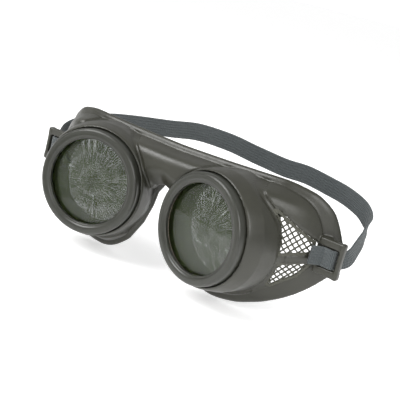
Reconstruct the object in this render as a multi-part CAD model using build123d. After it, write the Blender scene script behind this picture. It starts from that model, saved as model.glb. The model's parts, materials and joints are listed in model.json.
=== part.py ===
from build123d import *
import os
from math import cos, radians, sin, sqrt, hypot, ceil

# Welding goggles for two round filters, in millimetres.
# X runs across the face, +X to the wearer's left; the lenses look along -Y; Z is up.
# The origin is on the ground under the middle of the whole object.

# Cups and their lens stack. Depths are along the cup axis, back from the ring's front face.
CUP_X = 36.7                 # half the distance between the two cup axes
CUP_Y = -28.9                # ring front face
CUP_Z = 40.5                 # height of the cup axes
TOE_IN = 12.0                # degrees that each cup turns towards the middle
GLASS_R = 25.0               # round filter, 50 mm across
GLASS_EDGE = 0.3             # bevel on each glass edge
RING_R = 29.0
RING_LENGTH = 12.5
RING_EDGE = 1.6              # rounding of the ring's front shoulder
LIP_R = 23.4                 # opening in the ring's lip
LIP_DEPTH = 3.0
WASHER_R = 25.6
WASHER_BORE_R = 23.9
WASHER_DEPTH = 0.9
WASHER_GAP = 0.05
COVER_DEPTH = 1.5
FILTER_DEPTH = 3.0
BACKING_DEPTH = 1.5
GASKET_DEPTH = 1.0
GASKET_BORE_R = 22.8
THREAD_R = 27.0              # outside of the insert's thread
THREAD_CLEARANCE = 0.08
THREAD_PITCH = 3.0
THREAD_HEIGHT = 0.8
SEAT_R = 25.2                # bore that takes the glasses
SHOULDER_DEPTH = 2.0
INSERT_START = 4.4
INSERT_END = 22.0
INSERT_TAIL_R = 26.0
INSERT_TAIL_BORE_R = 24.2

# Soft mask.
WALL = 2.2
RIM_Y = CUP_Y + 30.0         # plane of the rim that lies against the face
BEAD = 2.0                   # how far the rim bead stands out
BEAD_DEPTH = 3.0
RING_ROOM_R = 29.4           # recess in the cup that the ring's skirt sinks into
RING_ROOM_END = 13.0
DOME_START = 5.0             # lip of the cup's dome, around the ring
DOME_LIP_R = 30.3
DOME_DEPTH = 9.0
DOME_R = 31.6
DOME_END = 25.5              # depth at which the cup's wall stops inside the mask
CUP_END = 50.0               # past the rim, where the rim plane trims it

# Half of the mask in sections across X, each from the rim's top edge to its bottom edge:
# x, then depth behind the cup front and height above the cup axis for the
# top edge, the upper face, the ridge and the lower edge, then the heights of the rim.
SECTIONS = (  # x, then (depth, height) of top edge, upper face, ridge, lower edge, the rim's heights and its depth
    (0.0, (13.5, 26.0), (11.5, 18.0), (11.5, -3.0), (14.0, -22.0), (30.5, -26.0), 30.0),
    (30.0, (12.5, 27.0), (10.5, 18.0), (10.5, -3.0), (14.0, -31.0), (31.2, -38.0), 30.0),
    (42.0, (12.0, 27.5), (10.0, 18.0), (10.0, -3.0), (15.0, -31.0), (31.7, -38.5), 30.0),
    (54.0, (11.0, 28.0), (9.0, 18.0), (9.0, -4.0), (16.0, -28.5), (32.2, -36.3), 30.0),
    (64.9, (13.4, 27.0), (10.9, 17.5), (9.7, -5.5), (22.4, -24.0), (32.5, -32.0), 31.9),
    (79.2, (26.0, 22.5), (23.5, 14.0), (22.4, -2.5), (31.5, -15.5), (29.7, -25.2), 38.0),
    (88.1, (37.7, 15.0), (35.2, 10.0), (33.7, -0.5), (39.2, -9.0), (22.5, -18.5), 43.2),
    (93.1, (44.5, 7.0), (43.5, 4.5), (42.7, 0.0), (44.7, -4.5), (13.5, -11.5), 46.5),
    (95.2, (47.6, 2.5), (47.3, 1.6), (47.2, 0.0), (47.4, -1.6), (5.0, -4.5), 48.0),
)

# Opening for the nose: half widths and heights, at its front end and at its back end.
NOSE_FRONT = (
    (0.0, 8.0), (4.5, 6.0), (7.0, 1.0), (8.0, -6.0), (11.5, -16.0), (19.0, -27.0), (32.0, -37.5), (32.0, -60.0),
)
NOSE_BACK = (
    (0.0, 12.0), (7.5, 9.5), (11.5, 3.0), (13.0, -6.0), (16.5, -17.0), (23.0, -29.0), (34.0, -41.5), (34.0, -60.0),
)

# Vent windows on each side: corners across and above the cup axis, and three points
# (across, depth, height) of each window's plane.
UPPER_VENT = ((74.8, -1.6), (86.9, 2.0), (86.1, 7.6), (69.3, 20.4), (68.3, 19.6), (73.0, 11.0), (74.9, 4.0))
LOWER_VENT = ((74.8, -7.6), (86.7, -3.8), (81.1, -13.0), (71.0, -21.5), (69.8, -20.3))
UPPER_VENT_PLANE = ((64.9, 10.5, 10.0), (85.2, 31.0, 8.0), (85.2, 29.6, -1.0))
LOWER_VENT_PLANE = ((64.9, 11.2, -7.0), (85.2, 32.3, -4.0), (73.0, 25.9, -17.5))
SCREEN_DEPTH = 1.2
SCREEN_PITCH = 2.6
SCREEN_BAR = 0.7
SCREEN_BORDER = 0.8
VENT_CUT = 7.0

# Strap lug on each temple, and the woven strap.
LUG_INNER_X = 88.5
LUG_OUTER_X = 101.5
LUG_FRONT = 34.9             # depth of the lug's front face behind the ring front
LUG_BACK = 38.9
LUG_Z = 2.0
LUG_HALF = 9.5
LUG_ARM = 4.0
LUG_LEG_X = 91.5
LUG_FOOT = 45.7
BAR_X = (93.3, 96.5)
BAR_DEPTHS = (36.1, 38.3)
OUTER_BAR_X = 99.1
STRAP_WIDTH = 10.0
STRAP_DEPTH = 1.3
# The strap's middle line from the wearer's left lug to the right one: x, depth, height.
STRAP_ROUTE = (
    (86.6, 29.8, 2), (89.2, 33.6, 2), (91.0, 35.6, 2), (92.9, 35.2, 2), (96.9, 35.2, 2), (97.9, 37.5, 2),
    (98.0, 40.2, 2), (99.6, 43.2, 2.2), (101, 46, 3.5), (101.8, 50, 8.5), (101.9, 54.5, 15), (100.5, 58.5, 21), (95.5, 61, 25.5),
    (86, 62, 29), (73.3, 62, 31.3), (59, 62, 33), (45, 62.5, 32.5), (28, 62, 33.5), (8, 60.5, 35.5), (-13, 60, 35),
    (-33, 60, 31), (-55, 61, 27), (-76, 61.5, 22.5), (-90, 60.5, 18), (-98.5, 56, 13), (-101.9, 51, 8.5),
    (-101.2, 46, 5), (-99.6, 43.2, 3), (-98.0, 40.2, 2), (-97.9, 37.5, 2), (-96.9, 35.2, 2), (-92.9, 35.2, 2),
    (-91.0, 35.6, 2), (-89.2, 33.6, 2), (-86.6, 29.8, 2),
)

SIDES = {"left": 1, "right": -1}


def at(x, depth, height):
    """A point from its place across, behind the cup front and above the cup axis."""
    return (x, CUP_Y + depth, CUP_Z + height)


def cup_place(side):
    """The frame of one cup: its Z runs back along the cup axis from the ring's front face."""
    toe = radians(TOE_IN)
    plane = Plane(
        origin=(side * CUP_X, CUP_Y, CUP_Z),
        x_dir=(cos(toe), -side * sin(toe), 0),
        z_dir=(side * sin(toe), cos(toe), 0),
    )
    return plane.location


def turned(side, points):
    """A solid of revolution about a cup axis from its (radius, depth) outline."""
    outline = make_face(Polyline([(r, 0, depth) for r, depth in points], close=True))
    return cup_place(side) * revolve(outline, Axis.Z)


def glass(side, start, depth):
    """A round glass with bevelled edges."""
    e = GLASS_EDGE
    return turned(side, (
        (0, start), (GLASS_R - e, start), (GLASS_R, start + e),
        (GLASS_R, start + depth - e), (GLASS_R - e, start + depth), (0, start + depth),
    ))


def lens_ring(side):
    """The screw ring: a lip in front, a counterbore for the washer and the threaded skirt."""
    e = RING_EDGE
    bore = THREAD_R + THREAD_CLEARANCE
    return turned(side, (
        (LIP_R, 0.9), (LIP_R + 0.9, 0), (RING_R - 2 * e, 0), (RING_R - 0.6 * e, 0.5 * e),
        (RING_R, 1.6 * e), (RING_R, RING_LENGTH - 0.6), (RING_R - 0.6, RING_LENGTH),
        (bore, RING_LENGTH), (bore, INSERT_START - 0.2), (WASHER_R + 0.1, INSERT_START - 0.2),
        (WASHER_R + 0.1, LIP_DEPTH), (LIP_R, LIP_DEPTH),
    ))


def flat_washer(side, bore_r, outer_r, start, depth):
    """A flat ring about the cup axis."""
    return turned(side, (
        (bore_r, start), (outer_r, start), (outer_r, start + depth), (bore_r, start + depth),
    ))


def thread_insert(side, seat_end):
    """The rigid insert: a grooved outside for the ring, a seat for the glasses, and a tail."""
    root = THREAD_R - THREAD_HEIGHT
    points = [(SEAT_R, seat_end), (SEAT_R, INSERT_START), (root, INSERT_START)]
    depth = INSERT_START + 0.6
    while depth + 0.75 * THREAD_PITCH < RING_ROOM_END:
        points += [
            (root, depth), (THREAD_R, depth + 0.3 * THREAD_PITCH),
            (THREAD_R, depth + 0.45 * THREAD_PITCH), (root, depth + 0.75 * THREAD_PITCH),
        ]
        depth += THREAD_PITCH
    points += [
        (root, RING_ROOM_END), (INSERT_TAIL_R, RING_ROOM_END), (INSERT_TAIL_R, INSERT_END),
        (INSERT_TAIL_BORE_R, INSERT_END), (INSERT_TAIL_BORE_R, seat_end + SHOULDER_DEPTH),
        (GASKET_BORE_R, seat_end + SHOULDER_DEPTH), (GASKET_BORE_R, seat_end),
    ]
    return turned(side, points)


def section_face(section, grow):
    """One closed section of the mask, moved outwards by grow and left open at the back."""
    x, top, upper, ridge, lower, rim, rim_depth = section
    back = rim_depth + (0.0 if grow >= 0 else BEAD_DEPTH)
    points = [
        (back, rim[0] + grow), (rim_depth, rim[0] + grow), (top[0] - 0.7 * grow, top[1] + 0.7 * grow),
        (upper[0] - grow, upper[1] + 0.3 * grow), (ridge[0] - grow, ridge[1]),
        (lower[0] - 0.7 * grow, lower[1] - 0.7 * grow), (rim_depth, rim[1] - grow),
        (back, rim[1] - grow),
    ]
    if back == rim_depth:
        points = points[1:-1]
    return [at(x, depth, height) for depth, height in points]


def mask_block(grow, sections):
    """The mask's outside as a closed block, or its hollow when grow is negative."""
    half = [section_face(s, grow) for s in sections]
    stations = [[(-x, y, z) for x, y, z in points] for points in reversed(half[1:])] + half
    wires = [Wire.make_polygon([Vector(*p) for p in points], close=True) for points in stations]
    return Solid.make_loft(wires, ruled=True)


def nose_opening(grow):
    """The opening over the nose, arched at the top and wider at the back."""
    wires = []
    for depth, outline in ((-2.0, NOSE_FRONT), (RIM_Y - CUP_Y + 8.0, NOSE_BACK)):
        half = [(x + (grow if x else 0), z + grow) for x, z in outline]
        points = [(-x, z) for x, z in reversed(half[1:])] + half
        wires.append(Wire.make_polygon([Vector(*at(x, depth, z)) for x, z in points], close=True))
    return Solid.make_loft(wires, ruled=True)


def slab(front, back):
    """A wide slab between two depths, to trim with."""
    wide = 400
    return Pos(0, CUP_Y + (front + back) / 2, CUP_Z) * Box(wide, back - front, wide)


def bead_band():
    """Everything in the last few millimetres before the rim, which sweeps back at the sides."""
    wires = []
    for section in SECTIONS:
        x, depth = section[0], section[-1]
        corners = ((depth - BEAD_DEPTH, -60), (depth - BEAD_DEPTH, 60), (depth + 1, 60), (depth + 1, -60))
        wires.append([at(x, d, z) for d, z in corners])
    stations = [[(-x, y, z) for x, y, z in points] for points in reversed(wires[1:])] + wires
    return Solid.make_loft([Wire.make_polygon([Vector(*p) for p in points], close=True) for points in stations],
                           ruled=True)


def cup_dome(side):
    """The outside of one cup: a rounded dome that starts around the ring and runs back to the rim."""
    points = [(0, DOME_START), (RING_ROOM_R, DOME_START), (DOME_LIP_R, DOME_START)]
    steps = 4
    for i in range(1, steps + 1):
        angle = radians(90 * i / steps)
        radius = DOME_LIP_R + (DOME_R - DOME_LIP_R) * sin(angle)
        points.append((radius, DOME_START + DOME_DEPTH * (1 - cos(angle))))
    points += [(DOME_R, CUP_END), (0, CUP_END)]
    return turned(side, points)


def cup_bore(side):
    """The inside of one cup: the recess for the ring, the socket for the insert, room for the eye."""
    eye_r = DOME_R - WALL
    socket_end = RING_ROOM_END + WALL
    return turned(side, (
        (0, -10), (RING_ROOM_R, -10), (RING_ROOM_R, RING_ROOM_END), (INSERT_TAIL_R, RING_ROOM_END),
        (INSERT_TAIL_R, socket_end), (eye_r, socket_end), (eye_r, CUP_END), (0, CUP_END),
    ))


def vent_plane(points, side):
    """The plane of a vent window on one side, its normal pointing out of the mask."""
    a, b, c = [Vector(*at(side * x, depth, height)) for x, depth, height in points]
    normal = (b - a).cross(c - a).normalized()
    if normal.Y > 0:
        normal = normal * -1
    return Plane(origin=a, x_dir=(b - a).normalized(), z_dir=normal)


def vent_outline(corners, plane, side):
    """A window's outline, dropped along Y onto its plane, in the plane's own coordinates."""
    points = []
    for x, height in corners:
        ray = Vector(side * x, 0, CUP_Z + height)
        y = plane.origin.Y - ((ray.X - plane.origin.X) * plane.z_dir.X
                              + (ray.Z - plane.origin.Z) * plane.z_dir.Z) / plane.z_dir.Y
        local = plane.to_local_coords(Vector(ray.X, y, ray.Z))
        points.append((local.X, local.Y))
    return make_face(Polyline(points, close=True))


def vent_cutter(corners, plane, side):
    """The prism that opens one window through the mask's wall."""
    outline = vent_outline(corners, plane, side)
    return plane.location * (Pos(0, 0, -VENT_CUT / 2) * extrude(outline, amount=VENT_CUT))


def vent_screen(corners, plane, side):
    """The diamond mesh that fills one window, with a plain border."""
    outline = vent_outline(corners, plane, side)
    inner = offset(outline, amount=-SCREEN_BORDER, kind=Kind.INTERSECTION)
    box = outline.bounding_box()
    across = int(ceil(box.size.X / SCREEN_PITCH)) + 1
    up = int(ceil(box.size.Y / SCREEN_PITCH)) + 1
    hole = SCREEN_PITCH - SCREEN_BAR * sqrt(2)
    holes = []
    for i in range(-1, 2 * across):
        for j in range(-1, 2 * up):
            if (i + j) % 2:
                continue
            x = box.min.X + i * SCREEN_PITCH / 2 * sqrt(2)
            y = box.min.Y + j * SCREEN_PITCH / 2 * sqrt(2)
            holes.append(Pos(x, y) * Rot(0, 0, 45) * Rectangle(hole, hole))
    open_area = (Sketch() + holes) & inner
    net = outline - open_area
    return plane.location * (Pos(0, 0, -WALL / 2 - SCREEN_DEPTH / 2) * extrude(net, amount=SCREEN_DEPTH))


def span_box(x_span, depth_span, z_span, side):
    """A box between two places on each direction, mirrored to one side."""
    size = [b - a for a, b in (x_span, depth_span, z_span)]
    middle = [(a + b) / 2 for a, b in (x_span, depth_span, z_span)]
    return Pos(*at(side * middle[0], middle[1], middle[2])) * Box(*size)


def strap_lug(side):
    """The moulded lug: two arms on legs, a middle bar and an outer bar."""
    parts = []
    for low in (LUG_Z - LUG_HALF, LUG_Z + LUG_HALF - LUG_ARM):
        parts.append(span_box((LUG_INNER_X, LUG_OUTER_X), (LUG_FRONT, LUG_BACK), (low, low + LUG_ARM), side))
        parts.append(span_box((LUG_INNER_X, LUG_LEG_X), (LUG_BACK, LUG_FOOT), (low, low + LUG_ARM), side))
    height = (LUG_Z - LUG_HALF, LUG_Z + LUG_HALF)
    parts.append(span_box(BAR_X, BAR_DEPTHS, height, side))
    parts.append(span_box((OUTER_BAR_X, LUG_OUTER_X), (LUG_FRONT, LUG_BACK), height, side))
    return parts[0].fuse(*parts[1:])


def mask_body():
    """The soft mask: two cups, bridge, side shields with vent windows, rim bead and lugs."""
    shell = mask_block(0, SECTIONS) + (mask_block(BEAD, SECTIONS) & bead_band())
    shell -= nose_opening(0)
    shell -= mask_block(-WALL, SECTIONS[:-1]) - nose_opening(WALL)
    for side in SIDES.values():
        for corners, points in ((UPPER_VENT, UPPER_VENT_PLANE), (LOWER_VENT, LOWER_VENT_PLANE)):
            shell -= vent_cutter(corners, vent_plane(points, side), side)
    for side in SIDES.values():
        shell += cup_dome(side) - slab(DOME_END, CUP_END + DOME_END)
    for side in SIDES.values():
        shell -= cup_bore(side)
        shell += strap_lug(side)
    return shell


def headband():
    """The woven strap as a chain of upright rectangles along its route."""
    points = [Vector(*at(*p)) for p in STRAP_ROUTE]
    wires = []
    for i, point in enumerate(points):
        ahead = points[min(i + 1, len(points) - 1)] - point
        behind = point - points[max(i - 1, 0)]
        steps = [Vector(v.X, v.Y, 0).normalized() for v in (ahead, behind) if hypot(v.X, v.Y) > 0]
        along = sum(steps, Vector(0, 0, 0)).normalized()
        lean = max(0.5, sqrt((1 + steps[0].dot(steps[-1])) / 2))
        aside = Vector(-along.Y, along.X, 0) * (STRAP_DEPTH / 2 / lean)
        up = Vector(0, 0, STRAP_WIDTH / 2)
        corners = [point - aside - up, point + aside - up, point + aside + up, point - aside + up]
        wires.append(Wire.make_polygon(corners, close=True))
    return Solid.make_loft(wires, ruled=True)


def build_parts():
    """Every piece of the goggles by its node name."""
    parts = {"mask_body": mask_body(), "headband": headband()}
    for name, side in SIDES.items():
        depth = LIP_DEPTH
        parts[name + "_lens_ring"] = lens_ring(side)
        depth += WASHER_GAP
        parts[name + "_slip_washer"] = flat_washer(side, WASHER_BORE_R, WASHER_R, depth, WASHER_DEPTH)
        depth += WASHER_DEPTH + WASHER_GAP
        parts[name + "_cover_glass"] = glass(side, depth, COVER_DEPTH)
        depth += COVER_DEPTH
        parts[name + "_shade_filter"] = glass(side, depth, FILTER_DEPTH)
        depth += FILTER_DEPTH
        parts[name + "_backing_glass"] = glass(side, depth, BACKING_DEPTH)
        depth += BACKING_DEPTH
        parts[name + "_seat_gasket"] = flat_washer(side, GASKET_BORE_R, GLASS_R, depth, GASKET_DEPTH)
        depth += GASKET_DEPTH
        parts[name + "_thread_insert"] = thread_insert(side, depth)
        upper = vent_plane(UPPER_VENT_PLANE, side)
        lower = vent_plane(LOWER_VENT_PLANE, side)
        parts[name + "_upper_vent_screen"] = vent_screen(UPPER_VENT, upper, side)
        parts[name + "_lower_vent_screen"] = vent_screen(LOWER_VENT, lower, side)
    return parts


os.makedirs("parts", exist_ok=True)
for node, shape in build_parts().items():
    export_step(shape, "parts/" + node + ".step")
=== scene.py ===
import json
import math

import bpy
import numpy as np
from mathutils import Matrix, Vector


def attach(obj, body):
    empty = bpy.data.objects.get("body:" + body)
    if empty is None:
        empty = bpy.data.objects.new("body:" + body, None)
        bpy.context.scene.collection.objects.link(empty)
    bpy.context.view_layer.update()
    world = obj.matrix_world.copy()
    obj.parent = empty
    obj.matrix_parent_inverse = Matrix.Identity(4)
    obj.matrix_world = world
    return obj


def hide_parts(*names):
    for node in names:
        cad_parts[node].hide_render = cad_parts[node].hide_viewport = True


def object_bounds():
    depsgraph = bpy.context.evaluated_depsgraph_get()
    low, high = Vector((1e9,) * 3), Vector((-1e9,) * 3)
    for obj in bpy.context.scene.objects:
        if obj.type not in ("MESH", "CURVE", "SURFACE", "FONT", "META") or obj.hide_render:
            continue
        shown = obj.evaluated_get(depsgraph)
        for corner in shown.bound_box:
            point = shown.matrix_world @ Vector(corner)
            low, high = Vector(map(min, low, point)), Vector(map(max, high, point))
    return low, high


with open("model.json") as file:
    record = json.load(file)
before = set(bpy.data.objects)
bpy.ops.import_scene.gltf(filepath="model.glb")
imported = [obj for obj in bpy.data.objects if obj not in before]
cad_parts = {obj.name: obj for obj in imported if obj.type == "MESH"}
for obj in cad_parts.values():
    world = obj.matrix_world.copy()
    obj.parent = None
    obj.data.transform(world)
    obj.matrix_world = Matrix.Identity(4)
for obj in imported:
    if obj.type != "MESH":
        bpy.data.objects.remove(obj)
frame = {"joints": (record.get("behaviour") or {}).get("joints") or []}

CAD_BOX = [list(corner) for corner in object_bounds()]
SIDES = {"left": 1, "right": -1}
JOINTS = {joint["name"]: joint for joint in frame["joints"]}
TURN = JOINTS["left_ring_turn"]
CUP_X, CUP_Y, CUP_Z = (1000 * value for value in TURN["pos_m"])
TOE_SIN, TOE_COS = abs(TURN["axis"][0]), abs(TURN["axis"][1])

# ---------------------------------------------------------------- camera
AZIMUTH, ELEVATION, ROLL = math.radians(30.85), math.radians(13.6), math.radians(15.4 - 1.0)
DISTANCE, SHIFT_X, SHIFT_Z = 472.5, 31.5, 2.5
FOCAL_PIXELS = 909.0


def make_camera():
    """The view that the object is seen from, rolled as the goggles lean."""
    back = Vector((math.sin(AZIMUTH) * math.cos(ELEVATION), -math.cos(AZIMUTH) * math.cos(ELEVATION),
                   math.sin(ELEVATION)))
    across = Vector((math.cos(AZIMUTH), math.sin(AZIMUTH), 0))
    up = back.cross(across)
    right = across * math.cos(ROLL) + up * math.sin(ROLL)
    top = up * math.cos(ROLL) - across * math.sin(ROLL)
    middle = Vector((0, CUP_Y, CUP_Z))
    place = (middle + right * SHIFT_X + top * SHIFT_Z + back * DISTANCE) / 1000
    data = bpy.data.cameras.new("camera")
    data.sensor_width = 36
    data.lens = FOCAL_PIXELS * 36 / 400
    data.clip_start = 0.01
    camera = bpy.data.objects.new("camera", data)
    turn = Matrix((right, top, back)).transposed().to_4x4()
    camera.matrix_world = Matrix.Translation(place) @ turn
    bpy.context.collection.objects.link(camera)
    bpy.context.scene.camera = camera


make_camera()


# ---------------------------------------------------------------- materials
def shader(name, colour, roughness, **sockets):
    """A material and its Principled shader."""
    material = bpy.data.materials.new(name)
    material.use_nodes = True
    node = material.node_tree.nodes["Principled BSDF"]
    node.inputs["Base Color"].default_value = (*colour, 1)
    node.inputs["Roughness"].default_value = roughness
    for key, value in sockets.items():
        node.inputs[key.replace("_", " ")].default_value = value
    return material, node


def add(material, kind, **values):
    node = material.node_tree.nodes.new(kind)
    for key, value in values.items():
        if hasattr(node, key):
            setattr(node, key, value)
        else:
            node.inputs[key.replace("_", " ")].default_value = value
    return node


def wire(material, start, output, end, socket):
    material.node_tree.links.new(start.outputs[output], end.inputs[socket])


def ramp(material, source, output, low, high, start=0.3, stop=0.7):
    """A colour ramp between two colours (or two greys)."""
    node = add(material, "ShaderNodeValToRGB")
    node.color_ramp.elements[0].position = start
    node.color_ramp.elements[1].position = stop
    node.color_ramp.elements[0].color = (*low, 1)
    node.color_ramp.elements[1].color = (*high, 1)
    wire(material, source, output, node, "Fac")
    return node


def grey(value):
    return (value, value, value)


def moulded(name, colour, roughness, grain=3000, depth=0.08, spread=0.14, **sockets):
    """Moulded soft plastic: a fine grain, faint clouds of colour and uneven gloss."""
    material, node = shader(name, colour, roughness, **sockets)
    place = add(material, "ShaderNodeTexCoord")
    clouds = add(material, "ShaderNodeTexNoise", Scale=60, Detail=4.0, Roughness=0.6)
    fine = add(material, "ShaderNodeTexNoise", Scale=grain, Detail=2.0, Roughness=0.5)
    smear = add(material, "ShaderNodeTexNoise", Scale=190, Detail=5.0, Roughness=0.65)
    for texture in (clouds, fine, smear):
        wire(material, place, "Object", texture, "Vector")
    low = [c * (1 - spread) for c in colour]
    high = [c * (1 + spread) for c in colour]
    tint = ramp(material, clouds, "Fac", low, high)
    wire(material, tint, "Color", node, "Base Color")
    gloss = ramp(material, smear, "Fac", grey(roughness - 0.06), grey(roughness + 0.08))
    wire(material, gloss, "Color", node, "Roughness")
    bump = add(material, "ShaderNodeBump", Strength=depth, Distance=0.0002)
    wire(material, fine, "Fac", bump, "Height")
    wire(material, bump, "Normal", node, "Normal")
    return material


def glassy(name, colour, index, **sockets):
    """Polished glass with the faintest dust and wave in it."""
    material, node = shader(name, colour, 0.02, IOR=index, **sockets)
    place = add(material, "ShaderNodeTexCoord")
    dust = add(material, "ShaderNodeTexNoise", Scale=900, Detail=6.0, Roughness=0.7)
    wave = add(material, "ShaderNodeTexNoise", Scale=25, Detail=1.0)
    wire(material, place, "Object", dust, "Vector")
    wire(material, place, "Object", wave, "Vector")
    gloss = ramp(material, dust, "Fac", grey(0.01), grey(0.03), 0.62, 0.8)
    wire(material, gloss, "Color", node, "Roughness")
    bump = add(material, "ShaderNodeBump", Strength=0.02, Distance=0.0005)
    wire(material, wave, "Fac", bump, "Height")
    wire(material, bump, "Normal", node, "Normal")
    return material


def woven(name):
    """Charcoal elastic: lengthwise ribs with a fine crosswise weave, by the band's own UVs."""
    material, node = shader(name, (0.03, 0.036, 0.038), 0.85, Sheen_Weight=0.25, Sheen_Roughness=0.5)
    place = add(material, "ShaderNodeUVMap", uv_map="UVMap")
    weave = add(material, "ShaderNodeTexWave", Scale=1.0, Distortion=1.2, Detail=2.0)
    weave.inputs["Detail Scale"].default_value = 3.0
    stretch = add(material, "ShaderNodeMapping")
    stretch.inputs["Scale"].default_value = (420, 26, 1)
    wire(material, place, "UV", stretch, "Vector")
    wire(material, stretch, "Vector", weave, "Vector")
    fuzz = add(material, "ShaderNodeTexNoise", Scale=1500, Detail=3.0)
    mix = add(material, "ShaderNodeMath", operation="ADD")
    wire(material, weave, "Fac", mix, 0)
    wire(material, fuzz, "Fac", mix, 1)
    tint = ramp(material, mix, "Value", (0.016, 0.019, 0.021), (0.07, 0.082, 0.084), 0.5, 1.0)
    wire(material, tint, "Color", node, "Base Color")
    bump = add(material, "ShaderNodeBump", Strength=0.5, Distance=0.0003)
    wire(material, mix, "Value", bump, "Height")
    wire(material, bump, "Normal", node, "Normal")
    return material


def fibre(name):
    """Pressed fibre: tan with darker flecks."""
    material, node = shader(name, (0.3, 0.26, 0.2), 0.9)
    flecks = add(material, "ShaderNodeTexNoise", Scale=1400, Detail=5.0, Roughness=0.7)
    place = add(material, "ShaderNodeTexCoord")
    wire(material, place, "Object", flecks, "Vector")
    tint = ramp(material, flecks, "Fac", (0.17, 0.14, 0.1), (0.4, 0.35, 0.28), 0.4, 0.6)
    wire(material, tint, "Color", node, "Base Color")
    bump = add(material, "ShaderNodeBump", Strength=0.4, Distance=0.0002)
    wire(material, flecks, "Fac", bump, "Height")
    wire(material, bump, "Normal", node, "Normal")
    return material


PVC = moulded("soft_pvc", (0.029, 0.029, 0.021), 0.36)
RING_PVC = moulded("ring_pvc", (0.028, 0.029, 0.023), 0.33, grain=2400)
HARD = moulded("hard_plastic", (0.02, 0.021, 0.018), 0.35, grain=1800, depth=0.05)
NET = moulded("netting", (0.05, 0.05, 0.036), 0.5, grain=3600, depth=0.15)
RUBBER = moulded("gasket_rubber", (0.018, 0.018, 0.018), 0.7, grain=2200, depth=0.2)
FIBRE = fibre("washer_fibre")
WOVEN = woven("woven_elastic")
CLEAR = glassy("clear_glass", (0.97, 0.99, 0.975), 1.3, Transmission_Weight=1.0)
SHADE = glassy("shade_glass", (0.024, 0.034, 0.009), 1.45)


# ---------------------------------------------------------------- mesh helpers
def outward(points, faces):
    """The same quads, turned over if they enclose a negative volume."""
    a, b, c, d = (points[faces[:, i]] for i in range(4))
    volume = np.sum(np.cross(a, b) * c) + np.sum(np.cross(a, c) * d)
    return faces if volume > 0 else faces[:, ::-1].copy()


def make_piece(name, points, faces, material, body, node, slot, smooth=True):
    """A mesh from points in millimetres that replaces a CAD node and rides on its body."""
    mesh = bpy.data.meshes.new(name)
    points = np.asarray(points, float) / 1000
    mesh.vertices.add(len(points))
    mesh.vertices.foreach_set("co", points.ravel())
    faces = outward(points, np.asarray(faces, np.int32))
    count, size = faces.shape
    mesh.loops.add(count * size)
    mesh.loops.foreach_set("vertex_index", faces.ravel())
    mesh.polygons.add(count)
    mesh.polygons.foreach_set("loop_start", np.arange(0, count * size, size, dtype=np.int32))
    mesh.polygons.foreach_set("use_smooth", np.full(count, smooth))
    mesh.update(calc_edges=True)
    mesh.validate()
    mesh.materials.append(material)
    piece = bpy.data.objects.new(name, mesh)
    bpy.context.collection.objects.link(piece)
    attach(piece, body)
    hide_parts(node)
    return piece


def at(points):
    """Points (x, depth behind the rings, height above the cup axes) in the frame, in millimetres."""
    points = np.asarray(points, float)
    return points + (0, CUP_Y, CUP_Z)


def smax(a, b, k):
    """The larger of two fields, with the edge between them rounded by k."""
    return np.maximum(a, b) + np.maximum(k - np.abs(a - b), 0) ** 2 / (4 * k)


def smin(a, b, k):
    return -smax(-a, -b, k)


def surface_net(field, start, step):
    """The zero surface of a field on a grid, as points and quads."""
    inside = field < 0
    shape = np.array(field.shape)
    cells = tuple(shape - 1)
    total = np.zeros((*cells, 3))
    hits = np.zeros(cells)
    corner = [slice(0, -1), slice(1, None)]
    grid = np.indices(cells).transpose(1, 2, 3, 0).astype(float)
    for axis in range(3):
        others = [i for i in range(3) if i != axis]
        for p in (0, 1):
            for q in (0, 1):
                near = [None, None, None]
                far = [None, None, None]
                near[axis], far[axis] = corner[0], corner[1]
                near[others[0]] = far[others[0]] = corner[p]
                near[others[1]] = far[others[1]] = corner[q]
                a, b = field[tuple(near)], field[tuple(far)]
                crossed = (a < 0) != (b < 0)
                share = np.where(crossed, a / np.where(crossed, a - b, 1), 0)
                hits += crossed
                total[..., axis] += share
                total[..., others[0]] += np.where(crossed, p, 0)
                total[..., others[1]] += np.where(crossed, q, 0)
    used = hits > 0
    number = np.full(cells, -1)
    number[used] = np.arange(used.sum())
    points = (grid[used] + total[used] / hits[used][:, None]) * step + start
    quads = []
    for axis in range(3):
        u, v = [(1, 2), (2, 0), (0, 1)][axis]
        low = [slice(1, -1)] * 3
        low[axis] = slice(0, -1)
        high = list(low)
        high[axis] = slice(1, None)
        a, b = inside[tuple(low)], inside[tuple(high)]
        for flip in (False, True):
            index = np.argwhere((a & ~b) if not flip else (~a & b))
            index[:, u] += 1
            index[:, v] += 1
            ring = []
            for du, dv in ((0, 0), (-1, 0), (-1, -1), (0, -1)):
                place = index.copy()
                place[:, u] += du
                place[:, v] += dv
                ring.append(number[tuple(place.T)])
            quad = np.stack(ring, 1)
            quads.append(quad[:, ::-1] if flip else quad)
    return points, np.concatenate(quads)


def lathe(profile, side, turns=256, thread=None):
    """A closed (radius, depth) outline turned about a cup's axis.

    thread(angle, depth, radius) may change the radius.
    """
    profile = np.asarray(profile, float)
    angle = np.linspace(0, 2 * math.pi, turns, endpoint=False)[:, None]
    radius = np.broadcast_to(profile[:, 0], (turns, len(profile))).copy()
    depth = np.broadcast_to(profile[:, 1], radius.shape)
    if thread:
        radius = thread(angle, depth, radius)
    across, high = radius * np.cos(angle), radius * np.sin(angle)
    x = side * (CUP_X + across * TOE_COS + depth * TOE_SIN)
    y = depth * TOE_COS - across * TOE_SIN
    points = at(np.stack([x, y, high], -1).reshape(-1, 3))
    n = len(profile)
    i, j = np.meshgrid(np.arange(turns), np.arange(n), indexing="ij")
    a, b = i * n + j, i * n + (j + 1) % n
    c, d = ((i + 1) % turns) * n + (j + 1) % n, ((i + 1) % turns) * n + j
    faces = np.stack([a, d, c, b] if side > 0 else [a, b, c, d], -1).reshape(-1, 4)
    return points, faces


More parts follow.
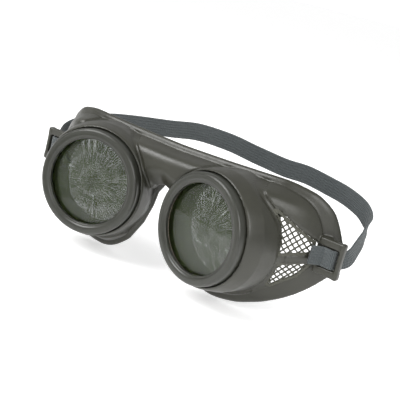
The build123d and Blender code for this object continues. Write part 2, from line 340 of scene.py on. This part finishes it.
def arc(centre, radius, start, stop, count=6):
    """Points on an arc in the (radius, depth) plane; angles in degrees."""
    angles = np.radians(np.linspace(start, stop, count))
    return [(centre[0] + radius * math.cos(t), centre[1] + radius * math.sin(t)) for t in angles]


# ---------------------------------------------------------------- the soft mask
# x, then (depth, height) of top edge, upper face, ridge, lower edge, the rim's heights and its depth
SECTIONS = (
    (0.0, (13.5, 26.0), (11.5, 18.0), (11.5, -3.0), (14.0, -22.0), (30.5, -26.0), 30.0),
    (30.0, (12.5, 27.0), (10.5, 18.0), (10.5, -3.0), (14.0, -31.0), (31.2, -38.0), 30.0),
    (42.0, (12.0, 27.5), (10.0, 18.0), (10.0, -3.0), (15.0, -31.0), (31.7, -38.5), 30.0),
    (54.0, (11.0, 28.0), (9.0, 18.0), (9.0, -4.0), (16.0, -28.5), (32.2, -36.3), 30.0),
    (64.9, (13.4, 27.0), (10.9, 17.5), (9.7, -5.5), (22.4, -24.0), (32.5, -32.0), 31.9),
    (79.2, (26.0, 22.5), (23.5, 14.0), (22.4, -2.5), (31.5, -15.5), (29.7, -25.2), 38.0),
    (88.1, (37.7, 15.0), (35.2, 10.0), (33.7, -0.5), (39.2, -9.0), (22.5, -18.5), 43.2),
    (93.1, (44.5, 7.0), (43.5, 4.5), (42.7, 0.0), (44.7, -4.5), (13.5, -11.5), 46.5),
    (95.2, (47.6, 2.5), (47.3, 1.6), (47.2, 0.0), (47.4, -1.6), (5.0, -4.5), 48.0),
)
NOSE_FRONT = ((0.0, 8.0), (4.5, 6.0), (7.0, 1.0), (8.0, -6.0), (11.5, -16.0), (19.0, -27.0),
              (32.0, -37.5), (32.0, -60.0))
NOSE_BACK = ((0.0, 12.0), (7.5, 9.5), (11.5, 3.0), (13.0, -6.0), (16.5, -17.0), (23.0, -29.0),
             (34.0, -41.5), (34.0, -60.0))
NOSE_DEPTHS = (-2.0, 38.0)
WINDOWS = {
    "upper": (((74.8, -1.6), (86.9, 2.0), (86.1, 7.6), (69.3, 20.4), (68.3, 19.6), (73.0, 11.0), (74.9, 4.0)),
              ((64.9, 10.5, 10.0), (85.2, 31.0, 8.0), (85.2, 29.6, -1.0))),
    "lower": (((74.8, -7.6), (86.7, -3.8), (81.1, -13.0), (71.0, -21.5), (69.8, -20.3)),
              ((64.9, 11.2, -7.0), (85.2, 32.3, -4.0), (73.0, 25.9, -17.5))),
}
WALL = 2.2


def to_polyline(x, z, points):
    """The distance from (x, z) to an open polyline."""
    best = np.full(np.broadcast(x, z).shape, 1e9)
    for (ax, az), (bx, bz) in zip(points[:-1], points[1:]):
        ex, ez = bx - ax, bz - az
        share = np.clip(((x - ax) * ex + (z - az) * ez) / (ex * ex + ez * ez + 1e-9), 0, 1)
        best = np.minimum(best, np.hypot(x - ax - share * ex, z - az - share * ez))
    return best


def in_polygon(x, z, points):
    """True where (x, z) lies inside a closed polygon."""
    inside = np.zeros(np.broadcast(x, z).shape, bool)
    for (ax, az), (bx, bz) in zip(points, points[1:] + points[:1]):
        if az == bz:
            continue
        crosses = ((az > z) != (bz > z)) & (x < (bx - ax) * (z - az) / (bz - az) + ax)
        inside ^= crosses
    return inside


def polygon_field(x, z, points):
    """Signed distance to a closed polygon, negative inside."""
    points = [tuple(p) for p in points]
    distance = to_polyline(x, z, points + points[:1])
    return np.where(in_polygon(x, z, points), -distance, distance)


def smoothed(values, xs, width):
    """A table's values along x with its corners rounded off."""
    fine = np.arange(-40, 150, 0.5)
    track = np.interp(np.abs(fine), xs, values)
    reach = np.arange(-4 * width, 4 * width + 0.5, 0.5)
    weights = np.exp(-0.5 * (reach / width) ** 2)
    soft = np.convolve(np.pad(track, len(reach) // 2, mode="edge"), weights / weights.sum(), "valid")
    return fine, soft[:len(fine)]


def rim_depth(x):
    """How far back the rim lies at each x: flat over the cups and swept back at the temples."""
    fine, soft = smoothed([row[6] for row in SECTIONS], [row[0] for row in SECTIONS], 2.0)
    return np.interp(x, fine, soft)


def block_field(x, depth, z):
    """The mask's outside without its cups, from the sections' edges."""
    xs = [row[0] for row in SECTIONS]
    tracks = []
    for corner in range(4):
        pair = []
        for part in (0, 1):
            fine, soft = smoothed([row[1 + corner][part] for row in SECTIONS], xs, 3.5)
            pair.append(np.interp(x, fine, soft))
        tracks.append(pair)
    rim = []
    for part in (0, 1):
        fine, soft = smoothed([row[5][part] for row in SECTIONS], xs, 3.0)
        rim.append(np.interp(x, fine, soft))
    back = rim_depth(x)
    ends = [[back, rim[0]]] + tracks + [[back, rim[1]]]
    field = None
    for (d0, z0), (d1, z1) in zip(ends[:-1], ends[1:]):
        nd, nz = z1 - z0, -(d1 - d0)
        length = np.sqrt(nd * nd + nz * nz) + 1e-6
        face = ((depth - d0) * nd + (z - z0) * nz) / length
        field = face if field is None else smax(field, face, 4.0)
    return field


def front_depth(x, z):
    """The depth of the mask's front surface at each (x, z), by halving."""
    near, far = np.full(x.shape, -5.0), np.full(x.shape, 60.0)
    for _ in range(22):
        middle = (near + far) / 2
        outside = block_field(x, middle, z) > 0
        near = np.where(outside, middle, near)
        far = np.where(outside, far, middle)
    return (near + far) / 2


def nose_field(x, depths, z):
    """Signed distance to the nose opening at each depth, negative in the opening; it flares at the front."""
    front, back = np.array(NOSE_FRONT), np.array(NOSE_BACK)
    field = np.zeros((x.shape[0], len(depths), z.shape[2]))
    flat_x, flat_z = x[:, 0, :], z[:, 0, :]
    arch = np.clip((flat_z + 12) / 12, 0, 1)
    for i, depth in enumerate(depths):
        share = (depth - NOSE_DEPTHS[0]) / (NOSE_DEPTHS[1] - NOSE_DEPTHS[0])
        line = front + (back - front) * share
        edge = np.interp(flat_x, line[:-1, 0], line[:-1, 1], right=-99)
        inside = flat_z < edge
        distance = to_polyline(flat_x, flat_z, [tuple(p) for p in line])
        scoop = 0.75 * max(0.0, 18.5 - depth) ** 1.15 * arch
        field[:, i, :] = np.where(inside, -distance, distance) - np.minimum(scoop, 9)
    return field


def box_field(x, depth, z, spans, rounding):
    """Signed distance to a rounded box."""
    parts = []
    for value, (low, high) in zip((x, depth, z), spans):
        parts.append(np.abs(value - (low + high) / 2) - (high - low) / 2 + rounding)
    outside = np.sqrt(sum(np.maximum(part, 0) ** 2 for part in parts))
    return outside + np.minimum(np.maximum(np.maximum(parts[0], parts[1]), parts[2]), 0) - rounding


LUG_BOXES = (
    ((87.5, 101.5), (34.9, 38.9), (-7.5, -3.5)), ((87.5, 101.5), (34.9, 38.9), (7.5, 11.5)),
    ((88, 91.5), (36.5, 45.7), (-7.5, -3.5)), ((88, 91.5), (36.5, 45.7), (7.5, 11.5)),
    ((93.3, 96.5), (36.1, 38.3), (-6, 10)), ((99.1, 101.5), (34.9, 38.9), (-7.5, 11.5)),
)


def slope_unit(field, step):
    """The field divided by its own slope, so that it measures distance."""
    slope = np.sqrt(sum(g * g for g in np.gradient(field, step)))
    return field / np.clip(slope, 0.35, 3)


def mask_mesh():
    """The whole mask as one moulded skin."""
    step = 0.55
    xs = np.arange(0, 103.5, step)
    rim = rim_depth(xs)[:, None, None]
    depths = np.arange(-3.3, 49.5, step)
    zs = np.arange(-42.3, 36.6, step)
    x, depth, z = xs[:, None, None], depths[None, :, None], zs[None, None, :]
    along = (x - CUP_X) * TOE_SIN + depth * TOE_COS
    out = (x - CUP_X) * TOE_COS - depth * TOE_SIN
    radius = np.sqrt(out * out + z * z)
    temple = (out / np.maximum(radius, 1) + 1) / 2
    flare = np.clip((along - 5) / 9, 0, 1)
    dome_radius = 30.3 + flare ** 0.8 * (1.1 + 2.2 * temple ** 2)
    block = smax(block_field(x, depth, z), -nose_field(x + 0 * z, depths, z + 0 * x), 6.0)
    block = slope_unit(block, step)
    groove = np.sqrt(block ** 2 + (depth - rim + 4.7) ** 2) - 0.75
    shell = smax(block, -(block + WALL), 0.5)
    for window, _ in WINDOWS.values():
        hole = polygon_field(x[:, 0, :], z[:, 0, :], window)[:, None, :] - 0.2
        shell = np.maximum(shell, -np.maximum(hole - 1.1, -(block + 0.55)))
        shell = smax(shell, -np.maximum(hole, depth - rim + 4), 0.6)
    shell = smax(shell, -groove, 0.5)
    inner_radius = dome_radius - WALL
    shell = np.maximum(shell, inner_radius - radius)
    dome = smax(radius - dome_radius, 4.9 - along, 1.2)
    crease = np.sqrt(block ** 2 + (radius - dome_radius - 0.5) ** 2) - 0.85
    cup = np.maximum(dome, along - 27)
    cup = np.maximum(cup, -np.maximum(radius - 29.4, along - 13))
    cup = np.maximum(cup, -np.maximum(radius - inner_radius, 15.2 - along))
    cup = np.maximum(cup, 26 - radius)
    cup = np.maximum(cup, depth - 25.5)
    body = smin(shell, cup, 0.5)
    body = smax(body, -crease, 0.5)
    bead = np.sqrt(block ** 2 + (depth - rim + 1.9) ** 2) - 1.8
    body = smin(body, bead, 0.5)
    body = smax(body, depth - rim, 0.4)
    for spans in LUG_BOXES:
        body = smin(body, box_field(x, depth, z, spans, 0.8), 0.8)
    full = np.concatenate([body[:0:-1], body])
    start = np.array([-xs[-1], depths[0], zs[0]])
    points, quads = surface_net(full, start, step)
    return at(points), quads


make_piece("mask_skin", *mask_mesh(), PVC, "mask", "mask_body", "mask")


# ---------------------------------------------------------------- rings, glasses and inserts
def vee(angle, depth, side, pitch=3.0):
    """A triangular thread's height, 0 to 1, along a helix."""
    phase = (depth / pitch - side * angle / (2 * math.pi)) % 1
    return 1 - np.abs(2 * phase - 1)


def ring_profile():
    """The screw ring: thin lip, shallow step, crowned face, rounded shoulder and threaded skirt."""
    outline = [(23.4, 3.0), (23.4, 1.5), (23.45, 1.25), (23.7, 0.95), (24.0, 0.85), (24.35, 0.85),
        (24.6, 0.6)]
    outline += [(24.9, 0.32), (25.4, 0.12), (26.0, 0.03), (26.6, 0.0)]
    outline += arc((27.1, 1.9), 1.9, -90, 0, 9)
    outline += [(29.0, 4.0), (29.0, 8.0), (29.0, 11.9)] + arc((28.5, 12.0), 0.5, 0, 90, 4)
    outline += [(27.6, 12.5), (27.15, 12.2)]
    outline += [(27.1, depth) for depth in np.arange(12.0, 4.4, -0.25)]
    outline += [(27.08, 4.2), (25.75, 4.2), (25.7, 3.0)]
    return outline


def ring_thread(side):
    def change(angle, depth, radius):
        cut = np.clip((12.0 - depth) / 0.5, 0, 1) * np.clip((depth - 4.5) / 0.5, 0, 1)
        hit = np.abs(radius - 27.1) < 0.01
        return np.where(hit, radius + 0.7 * cut * vee(angle, depth, side), radius)
    return change


def insert_profile():
    outline = [(25.2, 11.0), (25.2, 4.7), (25.4, 4.4), (26.0, 4.4), (26.1, 4.6)]
    outline += [(26.2, depth) for depth in np.arange(4.8, 12.9, 0.25)]
    outline += [(27.0, 12.98), (26.0, 13.02), (26.0, 15.3), (26.0, 21.6), (25.7, 22.0), (24.5, 22.0),
        (24.2, 21.7)]
    outline += [(24.2, 13.2), (24.0, 13.0), (22.9, 13.0), (22.8, 12.9), (22.8, 11.1), (22.9, 11.0)]
    return outline


def insert_thread(side):
    def change(angle, depth, radius):
        cut = np.clip((12.7 - depth) / 0.4, 0, 1) * np.clip((depth - 4.8) / 0.8, 0, 1)
        hit = np.abs(radius - 26.2) < 0.01
        return np.where(hit, radius + 0.78 * cut * vee(angle, depth, side), radius)
    return change


def disc_profile(radius, start, depth, edge=0.3):
    """Half of a bevelled disc's outline; the axis closes it."""
    end = start + depth
    rings = [(0.001, start), (8, start), (16, start), (radius - 2, start), (radius - edge, start)]
    rings += [(radius, start + edge), (radius, end - edge)]
    rings += [(radius - edge, end), (radius - 2, end), (16, end), (8, end), (0.001, end)]
    return rings


def washer_profile(bore, radius, start, depth, edge=0.12):
    end = start + depth
    return [(bore + edge, start), (radius - edge, start), (radius, start + edge), (radius, end - edge),
            (radius - edge, end), (bore + edge, end), (bore, end - edge), (bore, start + edge)]


for name, side in SIDES.items():
    points, faces = lathe(ring_profile(), side, thread=ring_thread(side))
    make_piece(name + "_ring_moulding", points, faces, RING_PVC, name + "_ring", name + "_lens_ring", "ring")
    points, faces = lathe(insert_profile(), side, thread=insert_thread(side))
    make_piece(name + "_insert_moulding", points, faces, HARD, "mask", name + "_thread_insert", "insert")
    for part, slot, body, material, outline in (
            ("slip_washer", "washer", name + "_washer", FIBRE, washer_profile(23.9, 25.6, 3.05, 0.9)),
            ("seat_gasket", "gasket", "mask", RUBBER, washer_profile(22.8, 25.0, 10.0, 1.0)),
            ("cover_glass", "clear_glass", "mask", CLEAR, disc_profile(25.0, 4.0, 1.5)),
            ("shade_filter", "shade_glass", "mask", SHADE, disc_profile(25.0, 5.5, 3.0)),
            ("backing_glass", "clear_glass", "mask", CLEAR, disc_profile(25.0, 8.5, 1.5))):
        points, faces = lathe(outline, side)
        make_piece(name + "_" + part + "_piece", points, faces, material, body, name + "_" + part, slot,
                   smooth=material not in (CLEAR, SHADE))


# ---------------------------------------------------------------- vent netting
def window_frame(plane):
    """Origin, two directions and the outward normal of a vent window's plane."""
    a, b, c = np.array(plane, float)
    along = (b - a) / np.linalg.norm(b - a)
    normal = np.cross(b - a, c - a)
    normal /= np.linalg.norm(normal)
    if normal[1] > 0:
        normal = -normal
    return a, along, np.cross(normal, along), normal


def net_mesh(outline, plane):
    """Crossing round strands at 45 degrees with a plain border, on one side of the mask."""
    origin, along, up, normal = window_frame(plane)
    corners = []
    for x, z in outline:
        ray = np.array([x, 0, z]) - origin
        depth = -(ray[0] * normal[0] + ray[2] * normal[2]) / normal[1]
        local = np.array([ray[0], depth, ray[2]])
        corners.append((local @ along, local @ up))
    low = np.min(corners, 0) - 2.2
    high = np.max(corners, 0) + 2.2
    step = 0.2
    us, vs = np.arange(low[0], high[0], step), np.arange(low[1], high[1], step)
    ws = np.arange(-1.2, 1.21, step)
    u, v, w = us[:, None, None], vs[None, :, None], ws[None, None, :]
    pitch, strand = 2.6, 0.43
    first = np.abs((((u + v) / math.sqrt(2)) % pitch) - pitch / 2)
    second = np.abs((((u - v) / math.sqrt(2)) % pitch) - pitch / 2)
    field = smin(np.sqrt(first ** 2 + (w - 0.2) ** 2) - strand,
        np.sqrt(second ** 2 + (w + 0.2) ** 2) - strand, 0.4)
    edge = polygon_field(u[:, :, 0], v[:, :, 0], corners)[:, :, None] - 0.9
    field = np.maximum(field, edge)
    border = np.maximum(np.abs(edge + 0.75) - 0.75, np.abs(w) - 0.55)
    field = smin(field, border, 0.3)
    points, quads = surface_net(field, np.array([low[0], low[1], ws[0]]), step)
    placed = origin + points[:, 0:1] * along + points[:, 1:2] * up
    placed[:, 1] = front_depth(placed[:, 0], placed[:, 2])
    return placed + (points[:, 2:3] - 1.25) * normal, quads


for level, (outline, plane) in WINDOWS.items():
    points, quads = net_mesh(outline, plane)
    for name, side in SIDES.items():
        node = name + "_" + level + "_vent_screen"
        placed = at(points * (side, 1, 1))
        make_piece(node + "_net", placed, quads if side > 0 else quads[:, ::-1], NET, "mask", node, "screen")


# ---------------------------------------------------------------- headband
ROUTE = (
    (86.6, 29.8, 2), (89.2, 33.6, 2), (91.0, 35.6, 2), (92.9, 35.2, 2), (96.9, 35.2, 2), (97.9, 37.5, 2),
    (98.0, 40.2, 2), (99.6, 43.2, 2.2), (101, 46, 3.5), (101.8, 50, 8.5), (101.9, 54.5, 15),
    (100.5, 58.5, 21), (95.5, 61, 25.5),
    (86, 62, 29), (73.3, 62, 31.3), (59, 62, 33), (45, 62.5, 32.5), (28, 62, 33.5), (8, 60.5, 35.5),
    (-13, 60, 35),
    (-33, 60, 31), (-55, 61, 27), (-76, 61.5, 22.5), (-90, 60.5, 18), (-98.5, 56, 13), (-101.9, 51, 8.5),
    (-101.2, 46, 5), (-99.6, 43.2, 3), (-98.0, 40.2, 2), (-97.9, 37.5, 2), (-96.9, 35.2, 2), (-92.9, 35.2, 2),
    (-91.0, 35.6, 2), (-89.2, 33.6, 2), (-86.6, 29.8, 2),
)
BAND_WIDTH, BAND_HALF, RIBS = 10.0, 0.5, 7


def smooth_line(points, spacing):
    """A smooth line through points, sampled evenly."""
    points = np.asarray(points, float)
    padded = np.vstack([2 * points[0] - points[1], points, 2 * points[-1] - points[-2]])
    line = []
    for a, b, c, d in zip(padded[:-3], padded[1:-2], padded[2:-1], padded[3:]):
        k1 = max(np.linalg.norm(b - a), 1e-6) ** 0.5
        k2 = max(np.linalg.norm(c - b), 1e-6) ** 0.5
        k3 = max(np.linalg.norm(d - c), 1e-6) ** 0.5
        t = (k1 + np.linspace(0, 1, 24, endpoint=False) * k2)[:, None]
        t1, t2, t3 = k1, k1 + k2, k1 + k2 + k3
        a1 = (t1 - t) / t1 * a + t / t1 * b
        a2 = (t2 - t) / k2 * b + (t - t1) / k2 * c
        a3 = (t3 - t) / k3 * c + (t - t2) / k3 * d
        b1 = (t2 - t) / t2 * a1 + t / t2 * a2
        b2 = (t3 - t) / (k2 + k3) * a2 + (t - t1) / (k2 + k3) * a3
        line.append((t2 - t) / k2 * b1 + (t - t1) / k2 * b2)
    line = np.vstack(line + [points[-1:]])
    run = np.concatenate([[0], np.cumsum(np.linalg.norm(np.diff(line, axis=0), axis=1))])
    even = np.linspace(0, run[-1], int(run[-1] / spacing) + 1)
    return np.stack([np.interp(even, run, line[:, i]) for i in range(3)], 1), run[-1]


def band_mesh():
    """The ribbed elastic band and its UVs (metres along, metres across)."""
    line, length = smooth_line(ROUTE, 0.7)
    tangent = np.gradient(line, axis=0)
    tangent /= np.linalg.norm(tangent, axis=1)[:, None]
    up = np.array([0, 0, 1.0]) - tangent * tangent[:, 2:3]
    up /= np.linalg.norm(up, axis=1)[:, None]
    out = np.cross(tangent, up)
    across = np.linspace(-1, 1, 43)
    ribs = np.abs(np.cos(np.pi * RIBS * (across + 1) / 2 + np.pi / 2)) ** 0.6
    half = BAND_HALF * (0.62 + 0.38 * ribs) * np.clip((1.02 - np.abs(across)) / 0.06, 0.25, 1)
    loop_across = np.concatenate([across, across[::-1]])
    loop_half = np.concatenate([half, -half[::-1]])
    run = np.arange(len(line)) * 0.7
    wave = 0.25 * np.sin(run / 9.0) + 0.15 * np.sin(run / 3.7 + 1.0)
    calm = np.clip((np.minimum(run, run[-1] - run) - 30) / 40, 0, 1)
    points = (line[:, None, :] + up[:, None, :] * (loop_across * BAND_WIDTH / 2)[None, :, None]
              + out[:, None, :] * (loop_half[None, :] + (wave * calm)[:, None])[:, :, None])
    count, n = points.shape[:2]
    i, j = np.meshgrid(np.arange(count - 1), np.arange(n), indexing="ij")
    k = (j + 1) % n
    faces = np.stack([i * n + j, (i + 1) * n + j, (i + 1) * n + k, i * n + k], -1).reshape(-1, 4)
    caps = []
    for row in (0, count - 1):
        for j in range(n // 2 - 1):
            quad = [row * n + j, row * n + j + 1, row * n + n - 2 - j, row * n + n - 1 - j]
            caps.append(quad if row == 0 else quad[::-1])
    uv = np.stack([np.repeat(run, n), np.tile(loop_across * BAND_WIDTH / 2, count)], 1) / 1000
    return at(points.reshape(-1, 3)), np.vstack([faces, caps]), uv, length


points, faces, uv, band_length = band_mesh()
band = make_piece("elastic_band", points, faces, WOVEN, "mask", "headband", "strap")
layer = band.data.uv_layers.new(name="UVMap")
corners = np.zeros(len(band.data.loops), np.int32)
band.data.loops.foreach_get("vertex_index", corners)
layer.data.foreach_set("uv", uv[corners].ravel())


# ---------------------------------------------------------------- floor and light
def make_backdrop(size, low):
    """White walls and a ceiling far away, which close the view above the floor."""
    mesh = bpy.data.meshes.new("backdrop")
    corners = [(sx * size, sy * size, z)
               for z in (low - 1, size) for sx, sy in ((-1, -1), (1, -1), (1, 1), (-1, 1))]
    mesh.from_pydata(corners, [], [(0, 1, 5, 4), (1, 2, 6, 5), (2, 3, 7, 6), (3, 0, 4, 7), (4, 5, 6, 7)])
    material, node = shader("white_backdrop", (0.9, 0.9, 0.9), 0.9)
    node.inputs["Emission Color"].default_value = (1, 1, 1, 1)
    node.inputs["Emission Strength"].default_value = 1.0
    mesh.materials.append(material)
    backdrop = bpy.data.objects.new("backdrop", mesh)
    bpy.context.collection.objects.link(backdrop)
    backdrop.visible_diffuse = backdrop.visible_glossy = backdrop.visible_shadow = False


def make_floor():
    """A large pale floor and a pale wall far behind it."""
    mesh = bpy.data.meshes.new("floor")
    size, low = 60.0, CAD_BOX[0][2]
    mesh.from_pydata([(-size, -size, low), (size, -size, low), (size, size, low),
        (-size, size, low)], [], [(0, 1, 2, 3)])
    material, node = shader("pale_floor", (0.93, 0.93, 0.93), 0.7)
    node.inputs["Emission Color"].default_value = (1, 1, 1, 1)
    node.inputs["Emission Strength"].default_value = 0.48
    mesh.materials.append(material)
    floor = bpy.data.objects.new("floor", mesh)
    bpy.context.collection.objects.link(floor)
    make_backdrop(size, low)


def make_card(name, corners, colour):
    """A plain studio card outside the picture, there to be reflected in the glass."""
    mesh = bpy.data.meshes.new(name)
    mesh.from_pydata(corners, [], [(0, 1, 2, 3)])
    material = shader(name, colour, 0.9)[0]
    mesh.materials.append(material)
    card = bpy.data.objects.new(name, mesh)
    bpy.context.collection.objects.link(card)
    card.visible_camera = card.visible_transmission = card.visible_shadow = card.visible_diffuse = False


def make_light(name, place, target, size, power):
    data = bpy.data.lights.new(name, "AREA")
    data.shape = "RECTANGLE"
    data.size, data.size_y = size
    data.energy = power
    lamp = bpy.data.objects.new(name, data)
    way = Vector(target) - Vector(place)
    lamp.matrix_world = Matrix.Translation(place) @ way.to_track_quat("-Z", "Y").to_matrix().to_4x4()
    bpy.context.collection.objects.link(lamp)


def make_world():
    world = bpy.data.worlds.new("studio")
    world.use_nodes = True
    world.node_tree.nodes["Background"].inputs["Color"].default_value = (1, 1, 1, 1)
    world.node_tree.nodes["Background"].inputs["Strength"].default_value = 0.55
    bpy.context.scene.world = world


make_floor()
make_world()
make_card("green_card", [(-0.24, -0.32, 0.001), (0.02, -0.36, 0.001), (0.0, -0.13, 0.001),
    (-0.2, -0.1, 0.001)],
          (0.06, 0.075, 0.03))
make_card("black_card", [(-0.2, -0.24, 0.004), (-0.06, -0.26, 0.004), (-0.05, -0.215, 0.004),
    (-0.17, -0.2, 0.004)],
          (0.004, 0.004, 0.004))
make_light("key", (-0.5, -0.7, 0.9), (0, 0, 0.04), (0.7, 0.7), 14)
make_light("fill", (0.9, -0.5, 0.6), (0.05, 0, 0.04), (0.6, 0.6), 6)
bpy.context.scene.view_settings.view_transform = "Standard"
